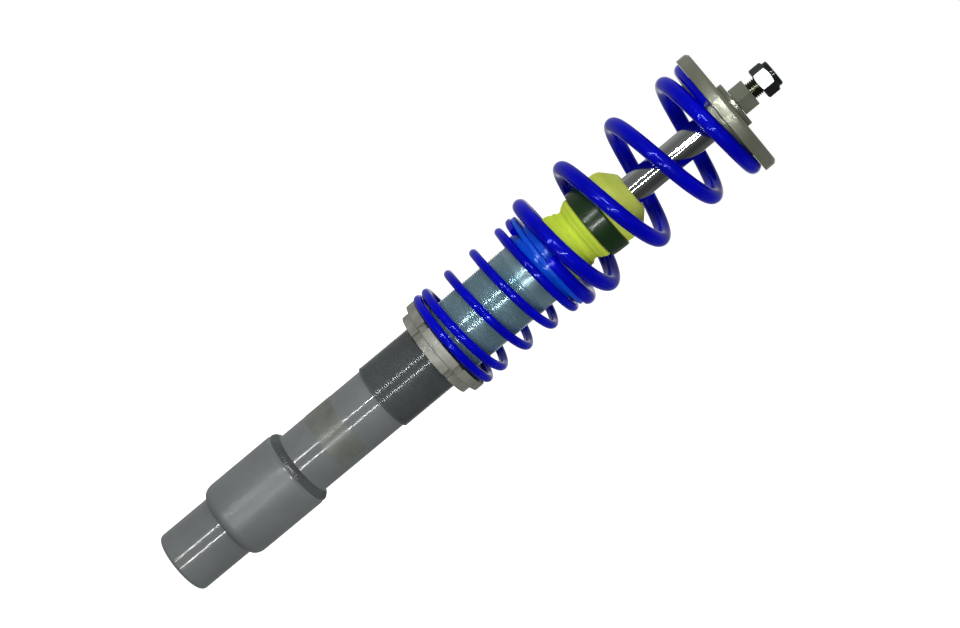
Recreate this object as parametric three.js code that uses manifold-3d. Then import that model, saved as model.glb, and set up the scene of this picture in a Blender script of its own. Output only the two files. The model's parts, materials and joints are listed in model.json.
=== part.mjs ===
// A front coilover strut, upright on its closed lower end. Millimetres, +Z up along the strut axis,
// origin at the centre of the lower end face. Front is -Y.
import * as THREE from 'three';
import { mergeVertices } from 'three/addons/utils/BufferGeometryUtils.js';
import Module from 'manifold-3d';

const wasm = await Module();
wasm.setup();

// Driving dimensions.
const gap = 0.3;                    // clearance kept between two pieces that touch
const visibleSides = 28;
const innerSides = 18;

const tubeRadius = 22.5;            // plain lower tube
const tubeWall = 3;
const tubeEdge = 3;                 // rounding at the closed end
const baseLip = 3.5;                // turned-in end of the tube that holds the base plug
const baseHoleRadius = 15;

const sleeveRadius = 27.5;          // the knuckle clamps around this sleeve
const sleeveBottom = 41.5;
const sleeveShoulder = 49.4;
const sleeveTop = 99.2;
const sleeveConeTop = 104;

const threadRadius = 24;            // M48 x 1.5
const threadBottom = 173;
const threadTop = 292;
const threadBore = 21;
const smoothRadius = 23.7;          // above the thread
const smoothTop = 312.7;

const lockBottom = 216.2;
const lockTop = 222.9;
const lockRadius = 31.3;
const collarTop = 229.4;
const collarRadius = 35.3;
const slotWidth = 6;
const slotDepth = 3.2;
const slotCount = 6;
const helperSeat = 229.6;           // top of the slip ring, where the helper spring stands

const flangeBottom = 310.9;         // spring coupler between the two springs
const flangeTop = 313.9;
const flangeRadius = 35.5;

const glandTop = 318;
const strokeRodRadius = 10;
const studRadius = 6;               // M12
const plateBottom = 456.5;
const plateTop = 465.5;
const plateRadius = 45;
const plateHub = 31.8;
const plateHubBottom = 449;

const pressureBore = 15;            // inner tube that the piston runs in
const pressureRadius = 17;
const pressureBottom = 13;
const pressureTop = 296;

// A spring: a wire wound right-handed, closed at both ends, ground flat where it seats.
const helper = {
  wire: 6, radius: 33.8, turns: 5.2, startAngle: 144, bottom: 231.3, top: 309.6,
  endPitch: 5.3, closedBelow: 0.52, rampBelow: 1.3, closedAbove: 0.56, rampAbove: 0.58,
  endRadius: 33.8, lean: 0, seatBelow: helperSeat + gap, seatAbove: flangeBottom - gap,
  stepsPerTurn: 18, sides: 6,
};
const main = {
  wire: 10.5, radius: 37.7, turns: 4.95, startAngle: 270, bottom: 316, top: 456.9,
  endPitch: 6.3, closedBelow: 0.58, rampBelow: 0.73, closedAbove: 0.41, rampAbove: 1.22,
  endRadius: 33.5, lean: 2, seatBelow: flangeTop + gap, seatAbove: plateBottom - gap,
  stepsPerTurn: 20, sides: 8,
};

const assembly = new THREE.Group();
assembly.name = 'strut_assembly';

function add(name, geometry, color, roughness, metalness) {
  const mesh = new THREE.Mesh(geometry, new THREE.MeshStandardMaterial({ color, roughness, metalness }));
  mesh.name = name;
  assembly.add(mesh);
  return mesh;
}

// Position only, with shared corners joined, so that a shape is one closed surface.
function welded(geometry) {
  geometry.deleteAttribute('normal');
  geometry.deleteAttribute('uv');
  return mergeVertices(geometry, 1e-4);
}

// Turns a closed outline of [radius, height] points about the axis. The outline runs up the outside.
function turned(outline, sides) {
  const points = outline.map(([radius, height]) => new THREE.Vector2(radius, height));
  if (outline[0][0] > 0) points.push(points[0].clone());
  return welded(new THREE.LatheGeometry(points, sides).rotateX(Math.PI / 2));
}

// Points of an arc in the outline plane, from one angle to another, in degrees.
function arc(radius, height, acrossR, upZ, from, to, steps) {
  const points = [];
  for (let i = 0; i <= steps; i++) {
    const angle = THREE.MathUtils.degToRad(from + ((to - from) * i) / steps);
    points.push([radius + acrossR * Math.cos(angle), height + upZ * Math.sin(angle)]);
  }
  return points;
}

// A plain ring or washer.
function ring(inner, outer, bottom, top, sides) {
  return turned([[inner, bottom], [outer, bottom], [outer, top], [inner, top]], sides);
}

function toSolid(geometry) {
  const joined = geometry.index ? geometry : mergeVertices(geometry, 1e-4);
  return new wasm.Manifold(new wasm.Mesh({
    numProp: 3,
    vertProperties: new Float32Array(joined.attributes.position.array),
    triVerts: new Uint32Array(joined.index.array),
  }));
}

function fromSolid(solid) {
  const mesh = solid.getMesh();
  const geometry = new THREE.BufferGeometry();
  geometry.setAttribute('position', new THREE.BufferAttribute(new Float32Array(mesh.vertProperties), 3));
  geometry.setIndex(new THREE.BufferAttribute(new Uint32Array(mesh.triVerts), 1));
  return geometry;
}

function cut(geometry, tools) {
  let solid = toSolid(geometry);
  for (const tool of tools) solid = solid.subtract(toSolid(tool));
  return fromSolid(solid);
}

// Upright drilled holes, evenly spaced on a circle.
function drills(count, circle, radius, bottom, top) {
  return Array.from({ length: count }, (_, i) => {
    const angle = (2 * Math.PI * i) / count;
    const drill = new THREE.CylinderGeometry(radius, radius, top - bottom, 8).rotateX(Math.PI / 2);
    drill.translate(circle * Math.cos(angle), circle * Math.sin(angle), (bottom + top) / 2);
    return welded(drill);
  });
}

// Spanner slots in the rim of a ring, the first one 30 degrees from the front.
function spannerSlots(rim, bottom, top) {
  return Array.from({ length: slotCount }, (_, i) => {
    const slot = new THREE.BoxGeometry(2 * slotDepth, slotWidth, top - bottom + 2);
    slot.translate(rim, 0, (bottom + top) / 2);
    slot.rotateZ(THREE.MathUtils.degToRad(-60 + (360 * i) / slotCount));
    return welded(slot);
  });
}

// A hexagonal nut body with a round bore. acrossFlats is the spanner size.
function hexNut(acrossFlats, bore, bottom, top, firstCorner) {
  const outline = new THREE.Shape();
  for (let i = 0; i < 6; i++) {
    const angle = THREE.MathUtils.degToRad(firstCorner + 60 * i);
    const corner = acrossFlats / 2 / Math.cos(Math.PI / 6);
    if (i === 0) outline.moveTo(corner * Math.cos(angle), corner * Math.sin(angle));
    else outline.lineTo(corner * Math.cos(angle), corner * Math.sin(angle));
  }
  outline.closePath();
  const hole = new THREE.Path();
  hole.absarc(0, 0, bore, 0, 2 * Math.PI, true);
  outline.holes.push(hole);
  const body = new THREE.ExtrudeGeometry(outline, {
    depth: top - bottom, bevelEnabled: false, curveSegments: innerSides / 2,
  });
  body.translate(0, 0, bottom);
  return welded(body);
}

// Area under a smooth step from 0 up to t, which turns a changing pitch into a height.
function rampArea(t) {
  if (t <= 0) return 0;
  return t < 1 ? t ** 3 - t ** 4 / 2 : t - 0.5;
}

class CoilCurve extends THREE.Curve {
  constructor(spring) {
    super();
    this.spring = spring;
    const { turns, closedBelow, closedAbove, rampBelow, rampAbove, endPitch, bottom, top } = spring;
    const openTurns = turns - closedBelow - closedAbove - (rampBelow + rampAbove) / 2;
    this.extraPitch = (top - bottom - endPitch * turns) / openTurns;
  }

  getPoint(t, target = new THREE.Vector3()) {
    const s = this.spring;
    const turn = t * s.turns;
    const opening = s.rampBelow * rampArea((turn - s.closedBelow) / s.rampBelow);
    const closeFrom = s.turns - s.closedAbove - s.rampAbove;
    const closing = s.rampAbove * rampArea((turn - closeFrom) / s.rampAbove);
    const height = s.bottom + s.endPitch * turn + this.extraPitch * (opening - closing);
    const radius = s.radius - (s.radius - s.endRadius) * (1 - THREE.MathUtils.smoothstep(turn, 0, 1));
    const angle = THREE.MathUtils.degToRad(s.startAngle) + 2 * Math.PI * turn;
    const lean = s.lean * Math.sin(Math.PI * t) ** 2;
    return target.set(radius * Math.cos(angle) - lean, radius * Math.sin(angle), height);
  }
}

function coilSpring(spring) {
  const section = new THREE.Shape();
  section.absarc(0, 0, spring.wire / 2, 0, 2 * Math.PI);
  const coil = welded(new THREE.ExtrudeGeometry(section, {
    steps: Math.round(spring.turns * spring.stepsPerTurn),
    curveSegments: spring.sides / 2,
    bevelEnabled: false,
    extrudePath: new CoilCurve(spring),
  }));
  const height = spring.seatAbove - spring.seatBelow;
  const between = welded(new THREE.BoxGeometry(120, 120, height));
  between.translate(0, 0, (spring.seatAbove + spring.seatBelow) / 2);
  return fromSolid(toSolid(coil).intersect(toSolid(between)));
}

// Damper casing.
const paintGrey = 0x6b7173;
const zincGreen = 0x8fa39d;
const springBlue = 0x0000c8;
const steelGrey = 0x8c8f90;
const darkRubber = 0x1c1c1c;

add('outer_tube', turned([
  [baseHoleRadius, 0],
  ...arc(tubeRadius - tubeEdge, tubeEdge, tubeEdge, tubeEdge, -90, 0, 3),
  [tubeRadius, threadBottom - gap],
  [tubeRadius - tubeWall, threadBottom - gap],
  [tubeRadius - tubeWall, baseLip],
  [baseHoleRadius, baseLip],
], visibleSides), paintGrey, 0.35, 0.2);

const plugTop = 9;
add('base_plug', turned([
  [0, 1],
  [baseHoleRadius - gap, 1],
  [baseHoleRadius - gap, baseLip + gap],
  [tubeRadius - tubeWall - gap, baseLip + gap],
  [tubeRadius - tubeWall - gap, plugTop],
  [12, plugTop],
  [12, 5],
  [0, 5],
], innerSides), steelGrey, 0.5, 0.8);

add('clamp_sleeve', turned([
  ...arc(tubeRadius + gap, sleeveShoulder, sleeveRadius - tubeRadius - gap,
    sleeveShoulder - sleeveBottom, -80, 0, 3),
  [sleeveRadius, sleeveTop],
  [tubeRadius + gap, sleeveConeTop],
  [tubeRadius + gap, sleeveBottom + 1],
], visibleSides), paintGrey, 0.35, 0.2);

const spigotLength = 12;
const spigotBore = 17.6;
add('threaded_tube', turned([
  [spigotBore, threadBottom - spigotLength],
  [tubeRadius - tubeWall - gap, threadBottom - spigotLength],
  [tubeRadius - tubeWall - gap, threadBottom],
  [threadRadius, threadBottom],
  [threadRadius, threadTop],
  [smoothRadius, threadTop + gap],
  [smoothRadius, smoothTop],
  [threadBore, smoothTop],
  [threadBore, threadBottom + 3],
  [spigotBore, threadBottom + 3],
], visibleSides), zincGreen, 0.4, 0.7);

add('inner_tube', ring(pressureBore, pressureRadius, pressureBottom, pressureTop, innerSides),
  steelGrey, 0.3, 0.9);

// Base valve, between the base plug and the pressure tube.
const valveBolt = 3;
const valveSpigotTop = 19;
add('base_valve_body', cut(turned([
  [valveBolt + gap, 11],
  [16, 11],
  [16, plugTop + gap],
  [tubeRadius - tubeWall - gap, plugTop + gap],
  [tubeRadius - tubeWall - gap, pressureBottom - gap],
  [pressureBore - gap, pressureBottom - gap],
  [pressureBore - gap, valveSpigotTop],
  [valveBolt + gap, valveSpigotTop],
], innerSides), drills(6, 9, 1.8, 10, 20)), 0x9a8f70, 0.5, 0.7);
add('base_valve_shims', turned([
  [valveBolt + gap, valveSpigotTop + gap],
  [12.4, valveSpigotTop + gap],
  [12.4, 19.7],
  [9, 19.7],
  [9, 20.1],
  [valveBolt + gap, 20.1],
], innerSides), steelGrey, 0.3, 0.9);
add('base_valve_bolt', turned([
  [0, 6.8],
  [valveBolt, 6.8],
  [valveBolt, 20.4],
  [5.5, 20.4],
  [5.5, 23.4],
  [0, 23.4],
], innerSides), steelGrey, 0.4, 0.9);
add('base_valve_nut', hexNut(8, valveBolt + gap, 7.8, 10.7, 0), steelGrey, 0.4, 0.9);

// Rod guide, seals and gland nut that close the top of the casing.
const rodBore = strokeRodRadius + gap;
const guideBottom = 290;
const guideTop = 304;
const bushRadius = 12;
add('rod_guide', turned([
  [bushRadius + gap, guideBottom],
  [pressureBore - gap, guideBottom],
  [pressureBore - gap, pressureTop + gap],
  [threadBore - gap, pressureTop + gap],
  [threadBore - gap, guideTop],
  [bushRadius + gap, guideTop],
], innerSides), 0x8a8578, 0.5, 0.7);
add('rod_guide_bush', ring(rodBore, bushRadius, guideBottom + gap, guideTop - gap, innerSides),
  0xa98350, 0.4, 0.7);
const sealTop = 308.7;
add('rod_oil_seal', ring(rodBore, 18.2, guideTop + gap, sealTop, innerSides), darkRubber, 0.7, 0);
const oRingRadius = 0.95;
add('gland_o_ring', turned(
  arc(19.6, 305.5, oRingRadius, oRingRadius, -180, 120, 5), innerSides), darkRubber, 0.7, 0);
const wiperRadius = 14;
const wiperSeat = 314;
add('gland_nut', turned([
  [11, sealTop + gap],
  [threadBore - gap, sealTop + gap],
  [threadBore - gap, smoothTop + gap],
  [smoothRadius, smoothTop + gap],
  [smoothRadius, glandTop],
  [wiperRadius + gap, glandTop],
  [wiperRadius + gap, wiperSeat],
  [11, wiperSeat],
], visibleSides), zincGreen, 0.4, 0.7);
add('rod_wiper', ring(rodBore, wiperRadius, wiperSeat + gap, glandTop - gap, innerSides),
  darkRubber, 0.7, 0);

// Bump stop on the body top, in the travel of the top plate.
const ringBottom = 346.9;
const ringTop = 360.4;
const foamBore = strokeRodRadius + 0.5;
add('bump_stop_foam', turned([
  [foamBore, glandTop + gap],
  [20.5, glandTop + gap],
  [21.8, 320.5],
  [22, 329],
  [18.7, 335],
  [18.7, 339],
  [22.2, ringBottom - gap],
  [19.4, ringBottom - gap],
  [19.4, ringTop + gap],
  [24, ringTop + gap],
  [23.8, 372.7],
  [13.5, 382.2],
  [foamBore, 382.2],
], visibleSides), 0xb0d728, 0.8, 0);
add('bump_stop_ring', turned([
  [19.4 + gap, ringBottom],
  [24.6, ringBottom],
  [25.2, ringTop],
  [19.4 + gap, ringTop],
], visibleSides), 0x28372d, 0.5, 0);

// Perch: lock ring and adjuster collar on the thread, with the slip ring that seats the helper.
const collarBore = threadRadius + gap;
add('lock_ring', cut(turned([
  [collarBore, lockBottom],
  [lockRadius, lockBottom],
  [lockRadius, lockTop],
  [collarBore, lockTop],
], visibleSides), spannerSlots(lockRadius, lockBottom, lockTop)), 0x9b9b8c, 0.4, 0.8);
const recessRadius = 34;
const recessFloor = 228.4;
add('adjuster_collar', cut(turned([
  [collarBore, lockTop + gap],
  [collarRadius, lockTop + gap],
  [collarRadius, collarTop],
  [recessRadius, collarTop],
  [recessRadius, recessFloor],
  [collarBore, recessFloor],
], visibleSides), spannerSlots(collarRadius, lockTop, collarTop)), 0x9b9b8c, 0.4, 0.8);
// The collar's rim is open at the slots, so the slip ring stops short of their floors.
const slipRadius = collarRadius - slotDepth - gap;
const slipTop = 233.8;
add('slip_ring', turned([
  [collarBore + gap, recessFloor + gap],
  [slipRadius, recessFloor + gap],
  [slipRadius, helperSeat],
  [helper.radius - helper.wire / 2 - 2 * gap, helperSeat],
  [helper.radius - helper.wire / 2 - 2 * gap, slipTop],
  [collarBore + gap, slipTop],
], visibleSides), 0x303236, 0.6, 0);

add('helper_spring', coilSpring(helper), springBlue, 0.2, 0);

// Coupler between the helper and the main spring, sliding on the casing by its liner.
const couplerBottom = 303;
const couplerTop = 320.5;
const linerRadius = 25.2;
add('spring_coupler', turned([
  [linerRadius + gap, couplerBottom],
  [27, couplerBottom],
  [27, flangeBottom],
  [flangeRadius, flangeBottom],
  [flangeRadius, flangeTop],
  [27, flangeTop],
  [27, couplerTop],
  [linerRadius + gap, couplerTop],
], visibleSides), 0x1432dc, 0.3, 0);
add('coupler_liner', ring(threadRadius + gap, linerRadius, couplerBottom + 0.5, couplerTop - 0.5,
  visibleSides), 0xd8d8d2, 0.5, 0);

add('main_spring', coilSpring(main), springBlue, 0.2, 0);

// Piston rod and what it carries.
const pistonStud = 5;
const rodShoulder = 232.2;
const clipGroove = 279;
add('piston_rod', turned([
  [0, 206],
  [pistonStud, 206],
  [pistonStud, rodShoulder],
  [strokeRodRadius, rodShoulder],
  [strokeRodRadius, clipGroove],
  [9, clipGroove],
  [9, clipGroove + 1.7],
  [strokeRodRadius, clipGroove + 1.7],
  [strokeRodRadius, plateBottom - gap],
  [studRadius, plateBottom - gap],
  [studRadius, 498.4],
  [studRadius - 1, 499.4],
  [0, 499.4],
], innerSides), 0xbfc2c4, 0.1, 1);
const studBore = pistonStud + gap;
const pistonBottom = 217;
const pistonTop = 229.3;
const grooveBottom = 219.5;
const grooveTop = 226.8;
add('piston', cut(turned([
  [studBore, pistonBottom],
  [14.4, pistonBottom],
  [14.4, grooveBottom],
  [13.2, grooveBottom],
  [13.2, grooveTop],
  [14.4, grooveTop],
  [14.4, pistonTop],
  [studBore, pistonTop],
], innerSides), drills(6, 9.3, 1.6, 216, 231)), 0x8f8a7a, 0.5, 0.7);
add('piston_ring', ring(13.5, pressureBore - gap, grooveBottom + gap, grooveTop - gap, innerSides),
  0x4a3a2a, 0.5, 0);
add('compression_shims', turned([
  [studBore, pistonTop + gap],
  [12.5, pistonTop + gap],
  [12.5, 230.4],
  [9, 230.4],
  [9, 231.1],
  [7, 231.1],
  [7, rodShoulder - gap],
  [studBore, rodShoulder - gap],
], innerSides), steelGrey, 0.3, 0.9);
add('rebound_shims', turned([
  [studBore, 214.4],
  [7, 214.4],
  [7, 215.1],
  [9.5, 215.1],
  [9.5, 215.9],
  [12.5, 215.9],
  [12.5, pistonBottom - gap],
  [studBore, pistonBottom - gap],
], innerSides), steelGrey, 0.3, 0.9);
add('piston_nut', hexNut(17, studBore, 208, 214.1, 0), steelGrey, 0.4, 0.9);

// A sprung clip in the rod's groove carries the rubber stop that meets the rod guide at full droop.
function clipRing(inner, outer, opening, bottom, thickness) {
  const half = THREE.MathUtils.degToRad(opening / 2);
  const outline = new THREE.Shape();
  outline.absarc(0, 0, outer, half, 2 * Math.PI - half, false);
  outline.absarc(0, 0, inner, 2 * Math.PI - half, half, true);
  const clip = new THREE.ExtrudeGeometry(outline, {
    depth: thickness, bevelEnabled: false, curveSegments: innerSides / 2,
  });
  clip.translate(0, 0, bottom);
  return welded(clip);
}
add('rebound_clip', clipRing(9 + gap, 12.5, 50, clipGroove + gap, 1.1), steelGrey, 0.4, 0.9);
add('rebound_stop', ring(rodBore, 13.8, clipGroove + 2, guideBottom - gap, innerSides), darkRubber, 0.7, 0);

// Top spring plate and the nut stack on the rod's stud.
const boltBore = studRadius + gap;
const washerRadius = 16;
add('top_plate', turned([
  [boltBore, plateBottom],
  [plateHub - 3, plateBottom],
  [plateHub - 3, plateHubBottom],
  [plateHub, plateHubBottom],
  [plateHub, plateBottom],
  [plateRadius, plateBottom],
  [plateRadius, plateTop - 2],
  [plateRadius - 2, plateTop],
  [washerRadius + 1, plateTop],
  [boltBore, plateTop],
], visibleSides), 0x64645a, 0.35, 0.8);
const washerTop = 469.2;
const spacerTop = 480.5;
add('top_washer', ring(boltBore, washerRadius, plateTop + gap, washerTop, visibleSides), steelGrey, 0.4, 0.9);
add('hex_spacer', hexNut(19, boltBore, washerTop + gap, spacerTop, -90), steelGrey, 0.4, 0.9);
const nutBottom = 487.4;
const nutHexTop = 497.2;
const overallHeight = 500.3;
const insertRadius = 7.6;
add('top_nut', fromSolid(toSolid(hexNut(19, boltBore, nutBottom, nutHexTop, -126)).add(toSolid(turned([
  [boltBore, nutHexTop - 1],
  [9.1, nutHexTop - 1],
  [9.1, overallHeight],
  [insertRadius + gap, overallHeight],
  [insertRadius + gap, nutHexTop + gap],
  [boltBore, nutHexTop + gap],
], innerSides)))), 0x202224, 0.3, 0.6);
add('nut_insert', ring(boltBore, insertRadius, nutHexTop + 2 * gap, overallHeight - 0.5, innerSides),
  0x3a5fb0, 0.5, 0);

export default assembly;
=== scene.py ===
# Front coilover strut: the looks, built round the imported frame. Sizes in the dictionaries are millimetres.
import bmesh
import bpy
import json
import math
from mathutils import Matrix, Vector


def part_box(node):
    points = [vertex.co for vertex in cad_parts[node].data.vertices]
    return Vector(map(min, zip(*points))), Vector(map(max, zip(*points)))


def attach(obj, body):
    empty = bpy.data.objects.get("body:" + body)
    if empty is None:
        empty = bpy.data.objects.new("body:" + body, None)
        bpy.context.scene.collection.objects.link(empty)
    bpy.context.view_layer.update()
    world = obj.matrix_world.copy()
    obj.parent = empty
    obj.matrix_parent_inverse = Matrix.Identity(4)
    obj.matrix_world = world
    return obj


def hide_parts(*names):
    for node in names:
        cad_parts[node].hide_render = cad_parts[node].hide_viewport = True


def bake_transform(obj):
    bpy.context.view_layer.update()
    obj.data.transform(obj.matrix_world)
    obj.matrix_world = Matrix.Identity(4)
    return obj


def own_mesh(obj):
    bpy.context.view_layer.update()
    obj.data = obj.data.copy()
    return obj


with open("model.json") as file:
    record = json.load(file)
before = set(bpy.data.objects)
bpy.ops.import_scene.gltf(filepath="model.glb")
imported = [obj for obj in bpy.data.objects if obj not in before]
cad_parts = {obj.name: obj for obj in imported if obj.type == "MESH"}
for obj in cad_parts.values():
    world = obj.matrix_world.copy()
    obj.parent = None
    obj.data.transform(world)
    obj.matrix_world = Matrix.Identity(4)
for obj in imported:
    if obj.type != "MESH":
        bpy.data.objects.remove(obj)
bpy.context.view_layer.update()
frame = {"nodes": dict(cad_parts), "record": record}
metre = 0.001   # millimetres to metres
fullTurn = 2 * math.pi
onAxis = 1e-6   # a radius this small is a point of the axis


# Sizes read off the frame, in millimetres.
def bottomOf(node):
    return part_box(node)[0].z / metre


def topOf(node):
    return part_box(node)[1].z / metre


def radiusOf(node):
    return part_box(node)[1].y / metre


# A node with its inputs linked or set, and its settings.
def addNode(tree, kind, inputs=None, **settings):
    made = tree.nodes.new(kind)
    for key, value in settings.items():
        setattr(made, key, value)
    for key, value in (inputs or {}).items():
        if isinstance(value, bpy.types.NodeSocket):
            tree.links.new(value, made.inputs[key])
        else:
            made.inputs[key].default_value = value
    return made


# A smooth ramp of a value from one range to another.
def smoothRamp(tree, value, low, high, toLow=0.0, toHigh=1.0):
    return addNode(tree, "ShaderNodeMapRange", {
        "Value": value, "From Min": low, "From Max": high, "To Min": toLow, "To Max": toHigh},
        interpolation_type="SMOOTHSTEP").outputs["Result"]


def linked(piece):
    bpy.context.scene.collection.objects.link(piece)
    return piece


# Camera and light

view = {
    "lens": 103.1,
    "sensor": 36.0,
    "distance": 1.774,          # from the strut's axis, in metres
    "lookHeight": 0.2566,
    "offset": -0.0011,
    "elevation": 6.5,           # degrees above the strut's cross plane
    "turn": 39.7,               # the strut's axis above the picture's horizontal, in degrees
}


def addCamera(v):
    data = bpy.data.cameras.new("camera")
    data.lens, data.sensor_width = v["lens"], v["sensor"]
    data.clip_start, data.clip_end = 0.05, 60.0
    camera = linked(bpy.data.objects.new("camera", data))
    up, turn = math.radians(v["elevation"]), math.radians(v["turn"])
    right = Vector((math.sin(turn), math.cos(turn) * math.sin(up), math.cos(turn) * math.cos(up)))
    back = Vector((0, -math.cos(up), math.sin(up)))
    above = back.cross(right)
    camera.matrix_world = Matrix((
        (right.x, above.x, back.x, v["offset"]),
        (right.y, above.y, back.y, -v["distance"] * math.cos(up)),
        (right.z, above.z, back.z, v["lookHeight"] + v["distance"] * math.sin(up)),
        (0, 0, 0, 1),
    ))
    bpy.context.scene.camera = camera


light = {
    "backdrop": 1.0,            # what the camera sees behind the strut
    "front": 0.11,              # dim surroundings in front of the strut
    "behind": 0.22,             # and behind it
    "leftGain": 1.5,            # how much brighter the left side is
    "rightGain": 0.45,
    "rim": 0.5,                 # the pale backdrop straight behind the strut, as gloss sees it
    "floorSize": 40.0,
    "strips": [(-20.5, 1.9), (10.0, 2.1)],    # degrees round from the camera, watts
    "stripDistance": 0.5,
    "stripWidth": 0.009,
    "stripBottom": -0.25,
    "stripTop": 0.65,
    "card": (-12.0, 0.505, 0.11, 0.05, 0.7),   # degrees round, height, width, length, watts
    "fillTarget": 0.25,         # the height the soft lamps point at
    "fills": [                  # place, size and watts of the soft lamps that gloss doesn't show
        ((-1.1, -1.5, 0.55), 0.9, 14.0),
        ((0.7, -1.5, 0.3), 0.7, 8.5),
        ((-0.3, -0.9, 1.6), 0.7, 4.0),
        ((1.5, 0.5, 0.5), 0.8, 7.0),
        ((-1.2, 1.3, 0.5), 0.8, 10.0),
        ((0.6, 1.8, 0.4), 0.8, 8.0),
    ],
}


def addAreaLight(name, place, target, sizeX, sizeY, power, seenByGloss):
    data = bpy.data.lights.new(name, "AREA")
    data.shape, data.size, data.size_y, data.energy = "RECTANGLE", sizeX, sizeY, power
    lamp = linked(bpy.data.objects.new(name, data))
    lamp.location = place
    lamp.rotation_euler = (Vector(target) - Vector(place)).to_track_quat("-Z", "Y").to_euler()
    lamp.visible_camera = False
    lamp.visible_glossy = seenByGloss
    lamp.visible_diffuse = not seenByGloss


# A place round the strut, at an angle from the front.
def around(angle, distance, height):
    return (distance * math.sin(math.radians(angle)), -distance * math.cos(math.radians(angle)), height)


# The camera sees a plain white backdrop; gloss sees a dim room, with a pale patch straight behind.
def addWorld(s):
    world = bpy.data.worlds.new("studio")
    bpy.context.scene.world = world
    world.use_nodes = True
    tree = world.node_tree

    def calc(operation, a, b):
        return addNode(tree, "ShaderNodeMath", {0: a, 1: b}, operation=operation).outputs[0]

    facing = addNode(tree, "ShaderNodeTexCoord").outputs["Generated"]
    parts = addNode(tree, "ShaderNodeSeparateXYZ", {0: facing}).outputs
    depth = smoothRamp(tree, parts["Y"], -0.4, 0.5, s["front"], s["behind"])
    left = smoothRamp(tree, parts["X"], -0.8, 0.2, s["leftGain"], 1.0)
    right = smoothRamp(tree, parts["X"], 0.3, 0.85, 1.0, s["rightGain"])
    room = calc("MULTIPLY", calc("MULTIPLY", depth, left), right)
    room = calc("ADD", room, smoothRamp(tree, parts["Y"], 0.9, 0.99, 0.0, s["rim"]))
    byCamera = addNode(tree, "ShaderNodeLightPath").outputs["Is Camera Ray"]
    seen = addNode(tree, "ShaderNodeMix", {0: byCamera, 2: room, 3: s["backdrop"]})
    background = tree.nodes["Background"]
    background.inputs["Color"].default_value = (1, 1, 1, 1)
    tree.links.new(seen.outputs[0], background.inputs["Strength"])


# Seen from below, the floor lets the underside of the strut show.
def addFloor(s):
    half = s["floorSize"] / 2
    mesh = bpy.data.meshes.new("floor")
    corners = [(-half, -half, 0), (half, -half, 0), (half, half, 0), (-half, half, 0)]
    mesh.from_pydata(corners, [], [(0, 1, 2, 3)])
    floor = linked(bpy.data.objects.new("floor", mesh))
    pale = bpy.data.materials.new("floorPale")
    pale.use_nodes = True
    tree = pale.node_tree
    shader = tree.nodes["Principled BSDF"]
    for socket, value in {
            "Base Color": (0.8, 0.8, 0.8, 1), "Roughness": 0.9, "Specular IOR Level": 0.0,
            "Emission Color": (1, 1, 1, 1), "Emission Strength": s["backdrop"]}.items():
        shader.inputs[socket].default_value = value
    below = addNode(tree, "ShaderNodeNewGeometry").outputs["Backfacing"]
    above = addNode(tree, "ShaderNodeMath", {0: 1.0, 1: below}, operation="SUBTRACT")
    tree.links.new(above.outputs[0], shader.inputs["Alpha"])
    mesh.materials.append(pale)
    floor.visible_glossy = floor.visible_diffuse = floor.visible_shadow = False


def addLamps(s):
    middle, length = (s["stripBottom"] + s["stripTop"]) / 2, s["stripTop"] - s["stripBottom"]
    for i, (angle, power) in enumerate(s["strips"]):
        addAreaLight(f"strip{i}", around(angle, s["stripDistance"], middle), (0, 0, middle),
                     s["stripWidth"], length, power, seenByGloss=True)
    angle, height, width, length, power = s["card"]
    addAreaLight("card", around(angle, s["stripDistance"], height), (0, 0, height), width, length, power,
                 seenByGloss=True)
    for i, (spot, size, power) in enumerate(s["fills"]):
        addAreaLight(f"fill{i}", spot, (0, 0, s["fillTarget"]), size, size, power, seenByGloss=False)


addCamera(view)
addWorld(light)
addFloor(light)
addLamps(light)
bpy.context.scene.view_settings.view_transform = "Standard"
print("camera and light set")


# Materials

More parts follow.
